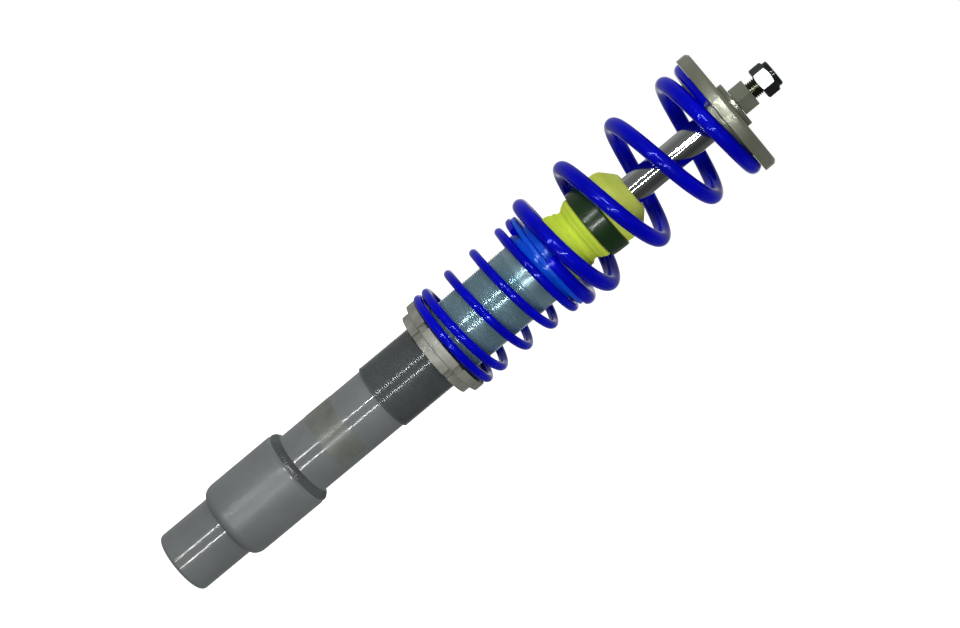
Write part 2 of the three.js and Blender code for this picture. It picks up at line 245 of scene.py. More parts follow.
class Finish:
    def __init__(self, name, color, roughness, metallic=0.0, **sockets):
        self.material = bpy.data.materials.new(name)
        self.material.use_nodes = True
        self.tree = self.material.node_tree
        self.shader = self.tree.nodes["Principled BSDF"]
        self.shader.inputs["Base Color"].default_value = (*color, 1)
        self.shader.inputs["Roughness"].default_value = roughness
        self.shader.inputs["Metallic"].default_value = metallic
        for socket, value in sockets.items():
            self.shader.inputs[socket.replace("_", " ")].default_value = value
        self.place = self.node("ShaderNodeTexCoord").outputs["Object"]
        self.normal = None

    def node(self, kind, inputs=None, **settings):
        return addNode(self.tree, kind, inputs, **settings)

    # The place stretched so that grain has its own scale across the axis and along it.
    def stretched(self, across, along):
        return self.node("ShaderNodeMapping", {
            "Vector": self.place, "Scale": (across, across, along)}).outputs[0]

    def height(self):
        return self.node("ShaderNodeSeparateXYZ", {0: self.place}).outputs["Z"]

    # Cloudy noise as a share between low and high.
    def cloud(self, scale, detail=4.0, low=0.0, high=1.0, roughness=0.55):
        return self.remap(self.noise(scale, detail, roughness), 0.3, 0.7, low, high)

    def noise(self, scale, detail=3.0, roughness=0.55, place=None):
        return self.node("ShaderNodeTexNoise", {
            "Vector": place or self.place, "Scale": scale, "Detail": detail,
            "Roughness": roughness}).outputs[0]

    def remap(self, value, low, high, toLow, toHigh):
        return self.node("ShaderNodeMapRange", {
            "Value": value, "From Min": low, "From Max": high,
            "To Min": toLow, "To Max": toHigh}).outputs[0]

    def mix(self, share, a, b):
        a, b = ((*c, 1) if isinstance(c, tuple) else c for c in (a, b))
        return self.node("ShaderNodeMix", {0: share, 6: a, 7: b}, data_type="RGBA").outputs[2]

    def bump(self, height, strength, distance):
        inputs = {"Height": height, "Strength": strength, "Distance": distance}
        if self.normal:
            inputs["Normal"] = self.normal
        self.normal = self.node("ShaderNodeBump", inputs).outputs[0]
        self.feed("Normal", self.normal)

    def feed(self, name, socket):
        self.tree.links.new(socket, self.shader.inputs[name])


paints = {
    "casing": ((0.172, 0.190, 0.193), (0.235, 0.254, 0.256)),
    # The bead's colour is the casing's grey paint, darkened with painted shade of the groove it lies in.
    "bead": ((0.045, 0.05, 0.052), (0.15, 0.163, 0.165)),
    "casingThread": ((0.085, 0.097, 0.102), (0.125, 0.140, 0.144)),
    "spring": ((0.0006, 0.0012, 0.44), (0.001, 0.002, 0.66)),
    "coupler": ((0.002, 0.075, 0.72), (0.004, 0.12, 0.95)),
    # The zinc's blue is partly the plating's own tint and partly a painted reflection of the blue springs.
    "zinc": ((0.19, 0.34, 0.40), (0.33, 0.47, 0.50)),
}


# Above glossAbove the paint has run and is glossier.
def casingPaint(name, rough, shades="casing", texture=0.10, glossAbove=None):
    dark, bright = paints[shades]
    f = Finish(name, bright, rough)
    blotch = f.cloud(28.0, 5.0, high=0.7, roughness=0.6)
    grain = f.cloud(900.0, 3.0, high=0.3)
    worn = f.node("ShaderNodeMath", {0: blotch, 1: grain}, operation="ADD").outputs[0]
    f.feed("Base Color", f.mix(worn, dark, bright))
    uneven = f.cloud(70.0, low=rough * 0.8, high=rough * 1.2)
    if glossAbove:
        run = f.remap(f.height(), (glossAbove - 1.5) * metre, glossAbove * metre, 0.0, 1.0)
        uneven = f.node("ShaderNodeMix", {0: run, 2: uneven, 3: 0.1}).outputs[0]
    f.feed("Roughness", uneven)
    f.bump(f.noise(380.0, 2.0), texture, 0.0002)
    return f.material


def springCoat():
    dark, bright = paints["spring"]
    f = Finish("springCoat", bright, 0.12, Specular_IOR_Level=0.4, Specular_Tint=(0.3, 0.36, 1.0, 1.0))
    f.feed("Base Color", f.mix(f.cloud(40.0), dark, bright))
    f.feed("Roughness", f.cloud(120.0, low=0.09, high=0.16))
    f.bump(f.noise(400.0, 2.0), 0.02, 0.0002)
    return f.material


def couplerCoat():
    dark, bright = paints["coupler"]
    f = Finish("couplerCoat", bright, 0.18, Specular_Tint=(0.5, 0.6, 1.0, 1.0))
    f.feed("Base Color", f.mix(f.cloud(50.0), dark, bright))
    f.bump(f.noise(600.0, 2.0), 0.1, 0.0002)
    return f.material


# Zinc plate, its blue partly the plating's own tint and partly a painted reflection of the blue springs, with
# the lowest stretch of the thread painted like the casing below a ragged edge.
def zincPlate(name="zincPlate", split=None):
    dark, bright = paints["zinc"]
    f = Finish(name, bright, 0.3, 0.45)
    stain = f.remap(f.noise(26.0, 5.0, 0.6), 0.32, 0.68, 0.0, 1.0)
    plate = f.mix(stain, dark, bright)
    rough = f.cloud(60.0, low=0.17, high=0.28)
    if split:
        ragged = f.remap(f.noise(220.0, 4.0), 0.0, 1.0, -0.0006, 0.0006)
        edge = f.node("ShaderNodeMath", {0: f.height(), 1: ragged}, operation="ADD").outputs[0]
        zinc = f.remap(edge, split * metre, split * metre + 0.0004, 0.0, 1.0)
        low, high = paints["casingThread"]
        paint = f.mix(f.cloud(26.0), low, high)
        plate = f.mix(zinc, paint, plate)
        f.feed("Metallic", f.remap(zinc, 0.0, 1.0, 0.1, 0.45))
        rough = f.node("ShaderNodeMix", {0: zinc, 2: 0.17, 3: rough}).outputs[0]
    f.feed("Base Color", plate)
    f.feed("Roughness", rough)
    return f.material


# Turned metal: the tool's rings run round the axis on flat faces as well as on the rim.
def turnedMetal(name, dark, bright, rough, metallic=0.6, rings=1500.0, strength=0.1):
    f = Finish(name, bright, rough, metallic)
    parts = f.node("ShaderNodeSeparateXYZ", {0: f.place})
    flat = f.node("ShaderNodeCombineXYZ", {0: parts.outputs["X"], 1: parts.outputs["Y"]})
    reach = f.node("ShaderNodeVectorMath", {0: flat.outputs[0]}, operation="LENGTH").outputs["Value"]
    spot = f.node("ShaderNodeCombineXYZ", {0: reach, 1: parts.outputs["Z"]}).outputs[0]
    grain = f.noise(rings, 3.0, 0.6, spot)
    f.feed("Base Color", f.mix(f.cloud(38.0, 6.0, roughness=0.65), dark, bright))
    f.feed("Roughness", f.remap(grain, 0.3, 0.7, rough * 0.75, rough * 1.3))
    f.bump(grain, strength, 0.0001)
    return f.material


def stopFoam():
    f = Finish("stopFoam", (0.42, 0.66, 0.03), 0.85, Subsurface_Weight=0.1, Subsurface_Scale=0.004)
    pale = f.remap(f.height(), 0.342, 0.368, 0.0, 1.0)
    cloud = f.cloud(60.0, 5.0)
    dark = f.mix(pale, (0.66, 0.93, 0.035), (0.62, 0.74, 0.07))
    f.feed("Base Color", f.mix(cloud, dark, f.mix(pale, (0.80, 0.98, 0.07), (0.80, 0.90, 0.15))))
    pores = f.node("ShaderNodeTexVoronoi", {"Vector": f.place, "Scale": 1400.0}).outputs["Distance"]
    f.bump(pores, 0.35, 0.00025)
    f.bump(f.noise(260.0, 4.0), 0.25, 0.0005)
    return f.material


def mouldedPlastic(name, color, rough, lift=1.25):
    f = Finish(name, color, rough)
    cloud = f.cloud(70.0, 5.0)
    dark, bright = tuple(c * 0.85 for c in color), tuple(min(1.0, c * lift) for c in color)
    f.feed("Base Color", f.mix(cloud, dark, bright))
    f.feed("Roughness", f.cloud(200.0, 3.0, rough * 0.85, rough * 1.15))
    f.bump(f.noise(1500.0, 2.0), 0.12, 0.0001)
    return f.material


def rodChrome():
    f = Finish("rodChrome", (0.66, 0.70, 0.68), 0.07, 1.0)
    # Light and dark streaks along the axis in the colour are painted reflections.
    paintedReflectionStreak = f.noise(1.0, 4.0, 0.7, f.stretched(900.0, 6.0))
    f.feed("Base Color", f.mix(f.remap(paintedReflectionStreak, 0.35, 0.65, 0.0, 1.0), (0.52, 0.56, 0.54), (0.80, 0.83, 0.80)))
    f.feed("Roughness", f.remap(f.noise(1.0, 3.0, 0.6, f.stretched(300.0, 20.0)), 0.3, 0.7, 0.05, 0.11))
    return f.material


def labelFilm():
    f = Finish("labelFilm", (0.19, 0.205, 0.185), 0.3)
    cloud = f.remap(f.noise(60.0, 5.0, 0.6), 0.35, 0.65, 0.0, 1.0)
    f.feed("Base Color", f.mix(cloud, (0.150, 0.166, 0.148), (0.215, 0.226, 0.196)))
    f.bump(f.noise(150.0, 4.0), 0.06, 0.0003)
    return f.material


materials = {
    "casing": casingPaint("casingPaint", 0.13, texture=0.03),
    "sleeve": casingPaint("sleevePaint", 0.42, texture=0.16, glossAbove=98.5),
    # The bead's darker colour is painted shade of its groove over the casing's grey paint.
    "bead": casingPaint("beadPaintAndGrooveShade", 0.15, "bead", texture=0.6),
    "spring": springCoat(),
    "coupler": couplerCoat(),
    "thread": zincPlate("threadFinish", split=topOf("lock_ring") - 3),
    "zinc": zincPlate(),
    "collar": turnedMetal("collarMetal", (0.20, 0.215, 0.18), (0.44, 0.44, 0.38), 0.42, 0.1, strength=0.06),
    "plate": turnedMetal("plateMetal", (0.19, 0.20, 0.15), (0.28, 0.29, 0.22), 0.3, 0.35, 700.0, 0.015),
    "steel": turnedMetal("plainSteel", (0.20, 0.22, 0.16), (0.29, 0.31, 0.24), 0.22, 0.4, 700.0, 0.015),
    "stud": turnedMetal("studSteel", (0.035, 0.042, 0.02), (0.07, 0.08, 0.045), 0.22, 0.8, strength=0.02),
    "nut": turnedMetal("nutBlack", (0.022, 0.026, 0.026), (0.05, 0.058, 0.058), 0.11, 0.7, strength=0.015),
    "chrome": rodChrome(),
    "foam": stopFoam(),
    "stopRing": mouldedPlastic("stopRingPlastic", (0.012, 0.038, 0.010), 0.22),
    "slip": mouldedPlastic("slipPlastic", (0.020, 0.021, 0.023), 0.45),
    "liner": mouldedPlastic("linerPlastic", (0.66, 0.66, 0.62), 0.45, 1.1),
    "insert": mouldedPlastic("insertPlastic", (0.04, 0.11, 0.36), 0.4),
    "rubber": mouldedPlastic("sealRubber", (0.012, 0.012, 0.013), 0.6),
    "sinter": mouldedPlastic("sinteredSteel", (0.17, 0.16, 0.14), 0.5),
    "bronze": turnedMetal("bushBronze", (0.30, 0.19, 0.08), (0.48, 0.33, 0.15), 0.32, 0.9),
    "label": labelFilm(),
}
print("materials made:", len(materials))


# Shape helpers

# Rounds the corners of an outline of (radius, height) points. Corners on the axis and the ends of an open
# outline stay, and so does a bend under 15 degrees.
def softened(outline, size, closed=True, steps=3):
    points = [Vector(p) for p in outline]
    count = len(points)
    result = []
    for i, corner in enumerate(points):
        if corner.x < onAxis or (not closed and i in (0, count - 1)):
            result.append(corner)
            continue
        before, after = points[i - 1] - corner, points[(i + 1) % count] - corner
        if before.length < 1e-6 or after.length < 1e-6 or before.angle(after) > math.radians(165):
            result.append(corner)
            continue
        reach = min(size, 0.45 * before.length, 0.45 * after.length)
        a, b = corner + before.normalized() * reach, corner + after.normalized() * reach
        for k in range(steps + 1):
            t = k / steps
            result.append(a * (1 - t) ** 2 + corner * 2 * t * (1 - t) + b * t ** 2)
    return result


# Quads between rings of points; a ring on the axis is one point.
def turnedMesh(outline, sides, closed):
    bm = bmesh.new()
    rings = []
    for radius, height in outline:
        if radius < onAxis:
            rings.append([bm.verts.new((0, 0, height * metre))] * sides)
            continue
        rings.append([bm.verts.new((
            radius * math.cos(fullTurn * i / sides) * metre,
            radius * math.sin(fullTurn * i / sides) * metre, height * metre)) for i in range(sides)])
    pairs = list(zip(rings, rings[1:])) + ([(rings[-1], rings[0])] if closed else [])
    for low, high in pairs:
        for i in range(sides):
            j = (i + 1) % sides
            corners = []
            for vert in (low[i], low[j], high[j], high[i]):
                if vert not in corners:
                    corners.append(vert)
            if len(corners) > 2:
                bm.faces.new(corners)
    return bm


def finished(name, bm, material, sharp=35):
    mesh = bpy.data.meshes.new(name)
    bm.to_mesh(mesh)
    bm.free()
    return finishedMesh(name, mesh, material, sharp)


def finishedMesh(name, mesh, material, sharp=35):
    mesh.materials.clear()
    mesh.materials.append(materials[material])
    mesh.shade_smooth()
    mesh.set_sharp_from_angle(angle=math.radians(sharp))
    return linked(bpy.data.objects.new(name, mesh))


# A piece turned about the axis. The outline runs up the outside, as on a lathe drawing.
def turned(name, outline, material, soften=0.35, sides=160):
    closed = min(r for r, _ in outline) > onAxis
    bm = turnedMesh(softened(outline, soften, closed), sides, closed)
    return finished(name, bm, material)


# The outline of a plain ring.
def ring(bore, radius, low, high):
    return [(bore, low), (radius, low), (radius, high), (bore, high)]


# The frame's own words for a piece: the body it rides on and the node it stands for, which is hidden; the
# node's slot is looked up but not used.
def place(piece, body, node=None, slot=None):
    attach(piece, body)
    if node:
        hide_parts(node)
        slot = slot or next(s["material_slot"] for s in frame["record"]["subparts"] if s["node"] == node)
    return piece


# A turned piece that stands for one node.
def lathed(node, body, outline, material, **shape):
    return place(turned(node + "_body", outline, material, **shape), body, node)


# Geometry Nodes helpers

class Tree:
    def __init__(self, name, inputs):
        self.group = bpy.data.node_groups.new(name, "GeometryNodeTree")
        self.face = self.group.interface
        self.face.new_socket("Geometry", in_out="OUTPUT", socket_type="NodeSocketGeometry")
        for label, value in inputs.items():
            kind = "NodeSocketInt" if isinstance(value, int) else "NodeSocketFloat"
            self.face.new_socket(label, in_out="INPUT", socket_type=kind).default_value = value
        self.face.new_socket("Material", in_out="INPUT", socket_type="NodeSocketMaterial")
        self.given = self.group.nodes.new("NodeGroupInput").outputs

    def node(self, kind, inputs=None, **settings):
        return addNode(self.group, kind, inputs, **settings)

    def calc(self, operation, *values):
        return self.node("ShaderNodeMath", dict(enumerate(values)), operation=operation).outputs[0]

    def times(self, a, b):
        return self.calc("MULTIPLY", a, b)

    def plus(self, a, b):
        return self.calc("ADD", a, b)

    def minus(self, a, b):
        return self.calc("SUBTRACT", a, b)

    def smooth(self, value, low, high, toLow=0.0, toHigh=1.0):
        return smoothRamp(self.group, value, low, high, toLow, toHigh)

    def position(self):
        return self.node("GeometryNodeInputPosition").outputs[0]

    # The place at an angle round the axis.
    def round(self, radius, angle, height):
        return self.node("ShaderNodeCombineXYZ", {
            0: self.times(radius, self.calc("COSINE", angle)),
            1: self.times(radius, self.calc("SINE", angle)), 2: height}).outputs[0]

    def moved(self, geometry, place):
        return self.node("GeometryNodeSetPosition", {"Geometry": geometry, "Position": place}).outputs[0]

    def ended(self, geometry):
        real = self.node("GeometryNodeRealizeInstances", {0: geometry})
        coated = self.node("GeometryNodeSetMaterial", {
            "Geometry": real.outputs[0], "Material": self.given["Material"]})
        self.node("NodeGroupOutput", {0: coated.outputs[0]})
        return self.group


# Runs a tree with its inputs set by identifier, and gives the result as a plain mesh.
def grown(name, tree, values, material, start=None):
    mesh = start or bpy.data.meshes.new(name + "Start")
    carrier = linked(bpy.data.objects.new(name + "Start", mesh))
    modifier = carrier.modifiers.new("grow", "NODES")
    modifier.node_group = tree
    for item in tree.interface.items_tree:
        if item.item_type == "SOCKET" and item.in_out == "INPUT":
            if item.name == "Material":
                modifier[item.identifier] = materials[material]
            elif item.name in values:
                modifier[item.identifier] = values[item.name]
    bpy.context.view_layer.update()
    shown = carrier.evaluated_get(bpy.context.evaluated_depsgraph_get())
    result = bpy.data.meshes.new_from_object(shown)
    bpy.data.objects.remove(carrier)
    result.name = name
    return result


rowsPerTurn = 4   # both edges of a thread's crest, then both edges of its root


# Tree: a screw thread between two heights, as a surface with a run-out at both ends
def threadTree():
    t = Tree("screwThread", {
        "Sides": 128, "Rows": 100, "Pitch": 1.5, "Depth": 0.9, "Radius": 24.0, "Bottom": 0.0, "Top": 10.0,
        "Run Out": 1.2, "Row Share": 0.25})
    grid = t.node("GeometryNodeMeshGrid", {
        "Size X": 1.0, "Size Y": 1.0, "Vertices X": t.plus(t.given["Sides"], 1.0),
        "Vertices Y": t.given["Rows"]})
    spot = t.node("ShaderNodeSeparateXYZ", {0: t.position()})
    across = t.plus(spot.outputs["X"], 0.5)
    lastRow = t.minus(t.given["Rows"], 1.0)
    row = t.calc("ROUND", t.times(t.plus(spot.outputs["Y"], 0.5), lastRow))
    turn = t.calc("FLOOR", t.calc("DIVIDE", t.plus(row, 0.5), float(rowsPerTurn)))
    stage = t.minus(row, t.times(turn, float(rowsPerTurn)))
    deep = t.calc("GREATER_THAN", stage, 1.5)
    within = t.times(stage, t.given["Row Share"])
    steps = t.plus(t.plus(t.minus(turn, 1.0), within), across)
    height = t.plus(t.given["Bottom"], t.times(t.given["Pitch"], steps))
    height = t.calc("MAXIMUM", t.given["Bottom"], t.calc("MINIMUM", t.given["Top"], height))
    fadeIn = t.smooth(t.minus(height, t.given["Bottom"]), 0.0, t.given["Run Out"])
    fadeOut = t.smooth(t.minus(t.given["Top"], height), 0.0, t.given["Run Out"])
    cut = t.times(t.times(t.given["Depth"], deep), t.times(fadeIn, fadeOut))
    radius = t.times(t.minus(t.given["Radius"], cut), metre)
    angle = t.times(across, fullTurn)
    moved = t.moved(grid.outputs[0], t.round(radius, angle, t.times(height, metre)))
    joined = t.node("GeometryNodeMergeByDistance", {"Geometry": moved, "Distance": 1e-6})
    return t.ended(joined.outputs[0])


# Tree: a coil spring, closed at both ends and open between
def coilTree():
    t = Tree("coilSpring", {
        "Turns": 5.0, "Points": 300, "Wire": 10.0, "Radius": 37.0, "End Radius": 37.0, "Start Angle": 0.0,
        "Bottom": 0.0, "End Pitch": 6.0, "Extra Pitch": 30.0, "Closed Below": 0.5, "Ramp Below": 1.0,
        "Closed Above": 0.5, "Ramp Above": 1.0, "Lean": 0.0, "From": 0.0, "To": 1.0, "Wire Sides": 32})
    line = t.node("GeometryNodeMeshLine", {"Count": t.given["Points"]})
    index = t.node("GeometryNodeInputIndex").outputs[0]
    last = t.minus(t.given["Points"], 1.0)
    part = t.calc("DIVIDE", index, last)
    turn = t.times(part, t.given["Turns"])
    opened = t.smooth(turn, t.given["Closed Below"], t.plus(t.given["Closed Below"], t.given["Ramp Below"]))
    closeEnd = t.minus(t.given["Turns"], t.given["Closed Above"])
    closed = t.smooth(turn, t.minus(closeEnd, t.given["Ramp Above"]), closeEnd)
    pitch = t.plus(t.given["End Pitch"],
                 t.times(t.given["Extra Pitch"], t.minus(opened, closed)))
    rise = t.calc("DIVIDE", t.times(pitch, t.given["Turns"]), last)
    climbed = t.node("GeometryNodeAccumulateField", {0: rise}, data_type="FLOAT").outputs["Trailing"]
    height = t.plus(t.given["Bottom"], climbed)
    radius = t.smooth(turn, 0.0, 1.0, t.given["End Radius"], t.given["Radius"])
    angle = t.plus(t.calc("RADIANS", t.given["Start Angle"]), t.times(turn, fullTurn))
    swell = t.calc("SINE", t.times(part, math.pi))
    lean = t.times(t.given["Lean"], t.times(swell, swell))
    at = t.node("ShaderNodeCombineXYZ", {
        0: t.times(t.minus(t.times(radius, t.calc("COSINE", angle)), lean), metre),
        1: t.times(t.times(radius, t.calc("SINE", angle)), metre),
        2: t.times(height, metre)})
    moved = t.moved(line.outputs[0], at.outputs[0])
    # A spring made in two lengths keeps only the points between From and To.
    outside = t.node("FunctionNodeBooleanMath", {
        0: t.node("FunctionNodeCompare", {0: part, 1: t.given["From"]}, operation="LESS_THAN").outputs[0],
        1: t.node("FunctionNodeCompare", {0: part, 1: t.given["To"]}, operation="GREATER_THAN").outputs[0]},
        operation="OR")
    kept = t.node("GeometryNodeDeleteGeometry", {"Geometry": moved, "Selection": outside.outputs[0]})
    path = t.node("GeometryNodeMeshToCurve", {"Mesh": kept.outputs[0]})
    section = t.node("GeometryNodeCurvePrimitiveCircle", {
        "Resolution": t.given["Wire Sides"], "Radius": t.times(t.given["Wire"], metre / 2)})
    wire = t.node("GeometryNodeCurveToMesh", {
        "Curve": path.outputs[0], "Profile Curve": section.outputs[0], "Fill Caps": True})
    return t.ended(wire.outputs[0])


# Tree: slots cut into the rim of a ring by boxes standing round it
def slotTree():
    t = Tree("rimSlots", {
        "Slots": 6, "Rim": 35.0, "Depth": 3.2, "Width": 6.0, "Height": 20.0, "Middle": 0.0,
        "First Angle": -60.0})
    incoming = t.face.new_socket("Ring", in_out="INPUT", socket_type="NodeSocketGeometry")
    t.face.move(incoming, 0)
    box = t.node("GeometryNodeMeshCube", {"Size": t.node("ShaderNodeCombineXYZ", {
        0: t.times(t.given["Depth"], 2 * metre), 1: t.times(t.given["Width"], metre),
        2: t.times(t.given["Height"], metre)}).outputs[0]})
    points = t.node("GeometryNodePoints", {"Count": t.given["Slots"]})
    step = t.calc("DIVIDE", fullTurn, t.given["Slots"])
    angle = t.plus(t.calc("RADIANS", t.given["First Angle"]),
                 t.times(t.node("GeometryNodeInputIndex").outputs[0], step))
    rim = t.times(t.given["Rim"], metre)
    moved = t.moved(points.outputs[0], t.round(rim, angle, t.times(t.given["Middle"], metre)))
    facing = t.node("ShaderNodeCombineXYZ", {2: angle})
    boxes = t.node("GeometryNodeInstanceOnPoints", {
        "Points": moved, "Instance": box.outputs[0], "Rotation": facing.outputs[0]})
    solid = t.node("GeometryNodeRealizeInstances", {0: boxes.outputs[0]})
    cut = t.node("GeometryNodeMeshBoolean", {"Mesh 1": t.given["Ring"], "Mesh 2": solid.outputs[0]},
               operation="DIFFERENCE", solver="EXACT")
    return t.ended(cut.outputs[0])


# Tree: a weld bead round the axis, laid down in overlapping ripples
def weldTree():
    t = Tree("weldBead", {
        "Ripples": 74, "Steps": 740, "Round": 12, "Width": 3.0, "Height": 1.2, "Ripple": 0.3,
        "Roughness": 0.2, "Radius": 25.0, "Middle": 100.0, "Slope": 45.0, "Bow": 0.45, "Grain": 420.0})
    path = t.node("GeometryNodeCurvePrimitiveCircle", {
        "Resolution": t.given["Steps"], "Radius": t.times(t.given["Radius"], metre)})
    section = t.node("GeometryNodeCurvePrimitiveCircle", {"Resolution": t.given["Round"], "Radius": metre})
    tube = t.node("GeometryNodeCurveToMesh", {"Curve": path.outputs[0], "Profile Curve": section.outputs[0]})
    spot = t.node("ShaderNodeSeparateXYZ", {0: t.position()})
    x, y = spot.outputs["X"], spot.outputs["Y"]
    angle = t.calc("ARCTAN2", y, x)
    away = t.minus(t.calc("SQRT", t.plus(t.times(x, x), t.times(y, y))),
                t.times(t.given["Radius"], metre))
    # Each ripple swells, then drops sharply to the next one; its front bows along the seam.
    along = t.calc("DIVIDE", spot.outputs["Z"], metre)
    bow = t.times(t.times(along, along), t.given["Bow"])
    count = t.plus(t.times(angle, t.calc("DIVIDE", t.given["Ripples"], fullTurn)), bow)
    swell = t.minus(1.0, t.times(t.given["Ripple"], t.calc("FRACT", count)))
    cell = t.node("ShaderNodeTexNoise", {
        "Vector": t.position(), "Scale": t.given["Grain"], "Detail": 2.0}).outputs[0]
    swell = t.plus(swell, t.times(t.given["Roughness"], t.minus(cell, 0.5)))
    across = t.times(t.times(along, t.given["Width"]), metre)
    out = t.times(t.times(away, t.given["Height"]), swell)
    tilt = t.calc("RADIANS", t.given["Slope"])
    sine, cosine = t.calc("SINE", tilt), t.calc("COSINE", tilt)
    radius = t.plus(t.times(t.given["Radius"], metre),
                  t.minus(t.times(out, cosine), t.times(across, sine)))
    height = t.plus(t.times(t.given["Middle"], metre),
                  t.plus(t.times(out, sine), t.times(across, cosine)))
    return t.ended(t.moved(tube.outputs[0], t.round(radius, angle, height)))


weldBead = weldTree()
screwThread = threadTree()
coilSpring = coilTree()
rimSlots = slotTree()
print("node trees built")


# A turned piece with a thread on one stretch. rest is the outline from the thread's top round to its bottom.
def threaded(name, thread, rest, material, soften=0.3):
    length = thread["Top"] - thread["Bottom"]
    rows = rowsPerTurn * (math.ceil(length / thread["Pitch"]) + 2) + 1
    mesh = grown(name, screwThread, {**thread, "Rows": rows}, material)
    bm = bmesh.new()
    bm.from_mesh(mesh)
    bmesh.ops.recalc_face_normals(bm, faces=bm.faces)
    outward = sum(f.normal.xy.dot(f.calc_center_median().xy) for f in bm.faces)
    if outward < 0:
        bmesh.ops.reverse_faces(bm, faces=bm.faces)
    body = turnedMesh(softened(rest, soften, closed=False), thread["Sides"], closed=False)
    other = bpy.data.meshes.new(name + "Rest")
    body.to_mesh(other)
    body.free()
    bm.from_mesh(other)
    bmesh.ops.remove_doubles(bm, verts=bm.verts, dist=2e-6)
    return finished(name, bm, material, sharp=28)


# A wrench hexagon: six flats cut across a turned body.
def hexagon(name, outline, acrossFlats, firstFlat, material, soften=0.25):
    closed = min(r for r, _ in outline) > onAxis
    bm = turnedMesh(softened(outline, soften, closed), 144, closed)
    for i in range(6):
        angle = math.radians(firstFlat + 60 * i)
        away = Vector((math.cos(angle), math.sin(angle), 0))
        everything = list(bm.verts) + list(bm.edges) + list(bm.faces)
        bmesh.ops.bisect_plane(bm, geom=everything, plane_co=away * acrossFlats / 2 * metre, plane_no=away,
                               clear_outer=True, dist=1e-7)
        bmesh.ops.holes_fill(bm, edges=[e for e in bm.edges if e.is_boundary])
    bmesh.ops.recalc_face_normals(bm, faces=bm.faces)
    return finished(name, bm, material, sharp=20)


# Casing

casing = {
    "tube": radiusOf("outer_tube"), "wall": 3.0, "edge": 3.0, "lip": 3.5, "baseHole": 15.0,
    "gap": 0.3,                 # between pieces that are welded or pressed together
    "skin": 0.05,               # between surfaces that lie on each other
    "plugFoot": 1.0, "plugStep": 3.8, "plugTop": 9.0, "plugBore": 12.0, "plugFloor": 5.0,
    "sleeve": radiusOf("clamp_sleeve"), "sleeveBottom": bottomOf("clamp_sleeve"), "shoulder": 49.4,
    "sleeveTop": 99.2, "sleeveRound": 1.6, "coneTop": topOf("clamp_sleeve") - 0.9, "coneEdge": 1.1,
    "pitch": 1.5, "threadDepth": 0.7, "runOut": 1.0, "threadBottom": 173.0, "threadStart": 173.8,
    "threadTop": 292.0, "top": topOf("threaded_tube"), "bore": 21.0, "smooth": 23.7, "spigot": 17.6,
}


# Points of an elliptic arc, angles in degrees.
def arc(radius, height, acrossR, upZ, start, stop, steps):
    angles = [math.radians(start + (stop - start) * i / steps) for i in range(steps + 1)]
    return [(radius + acrossR * math.cos(a), height + upZ * math.sin(a)) for a in angles]


def makeCasing(c):
    inner, low = c["tube"] - c["wall"], c["threadBottom"]
    lathed("outer_tube", "damper_body", [
        (c["baseHole"], 0),
        *arc(c["tube"] - c["edge"], c["edge"], c["edge"], c["edge"], -90, 0, 10),
        (c["tube"], low - c["gap"]), (inner, low - c["gap"]), (inner, c["lip"]), (c["baseHole"], c["lip"]),
    ], "casing")
    hole, fit = c["baseHole"] - c["gap"], inner - c["gap"]
    lathed("base_plug", "damper_body", [
        (0, c["plugFoot"]), (hole, c["plugFoot"]), (hole, c["plugStep"]), (fit, c["plugStep"]),
        (fit, c["plugTop"]), (c["plugBore"], c["plugTop"]), (c["plugBore"], c["plugFloor"]),
        (0, c["plugFloor"]),
    ], "casing")
    step, curve = c["sleeve"] - c["tube"] - c["skin"], c["sleeveRound"]
    lathed("clamp_sleeve", "damper_body", [
        *arc(c["tube"] + c["skin"], c["shoulder"], step, c["shoulder"] - c["sleeveBottom"], -84, 0, 12),
        *arc(c["sleeve"] - curve, c["sleeveTop"] - 0.75 * curve, curve, curve, 0, 45, 5),
        (c["tube"] + c["coneEdge"], c["coneTop"]), (c["tube"] + c["skin"], c["coneTop"]),
    ], "sleeve", soften=0.9)
    tube, foot = radiusOf("threaded_tube"), bottomOf("threaded_tube")
    place(threaded("threaded_tube_body", {
        "Sides": 160, "Pitch": c["pitch"], "Depth": c["threadDepth"], "Radius": tube,
        "Bottom": c["threadStart"], "Top": c["threadTop"], "Run Out": c["runOut"],
    }, [
        (tube, c["threadTop"]), (tube, c["threadTop"] + 0.4), (c["smooth"], c["threadTop"] + 1.0),
        (c["smooth"], c["top"]), (c["bore"], c["top"]), (c["bore"], low + 3), (c["spigot"], low + 3),
        (c["spigot"], foot), (fit, foot), (fit, low - c["skin"]), (tube - 0.4, low - c["skin"]),
        (tube, low + 0.4), (tube, c["threadStart"]),
    ], "thread", soften=0.15), "damper_body", "threaded_tube")


bead = {"Ripples": 74, "Steps": 740, "Round": 12, "Width": 3.2, "Height": 1.3, "Ripple": 0.4,
        "Roughness": 0.22, "Radius": 24.75, "Middle": 102.35, "Slope": 45.0}


# A weld bead lies on the cone above the sleeve.
def makeBead(b):
    mesh = grown("upper_weld_bead", weldBead, b, "bead")
    bm = bmesh.new()
    bm.from_mesh(mesh)
    bmesh.ops.recalc_face_normals(bm, faces=bm.faces)
    place(finished("upper_weld_bead", bm, "bead", sharp=60), "damper_body", slot="casing_paint")


label = {"bottom": 126.0, "top": 146.6, "from": -149.0, "to": 55.0, "under": 0.03, "over": 0.14,
         "corner": 2.2, "columns": 150, "rows": 6}


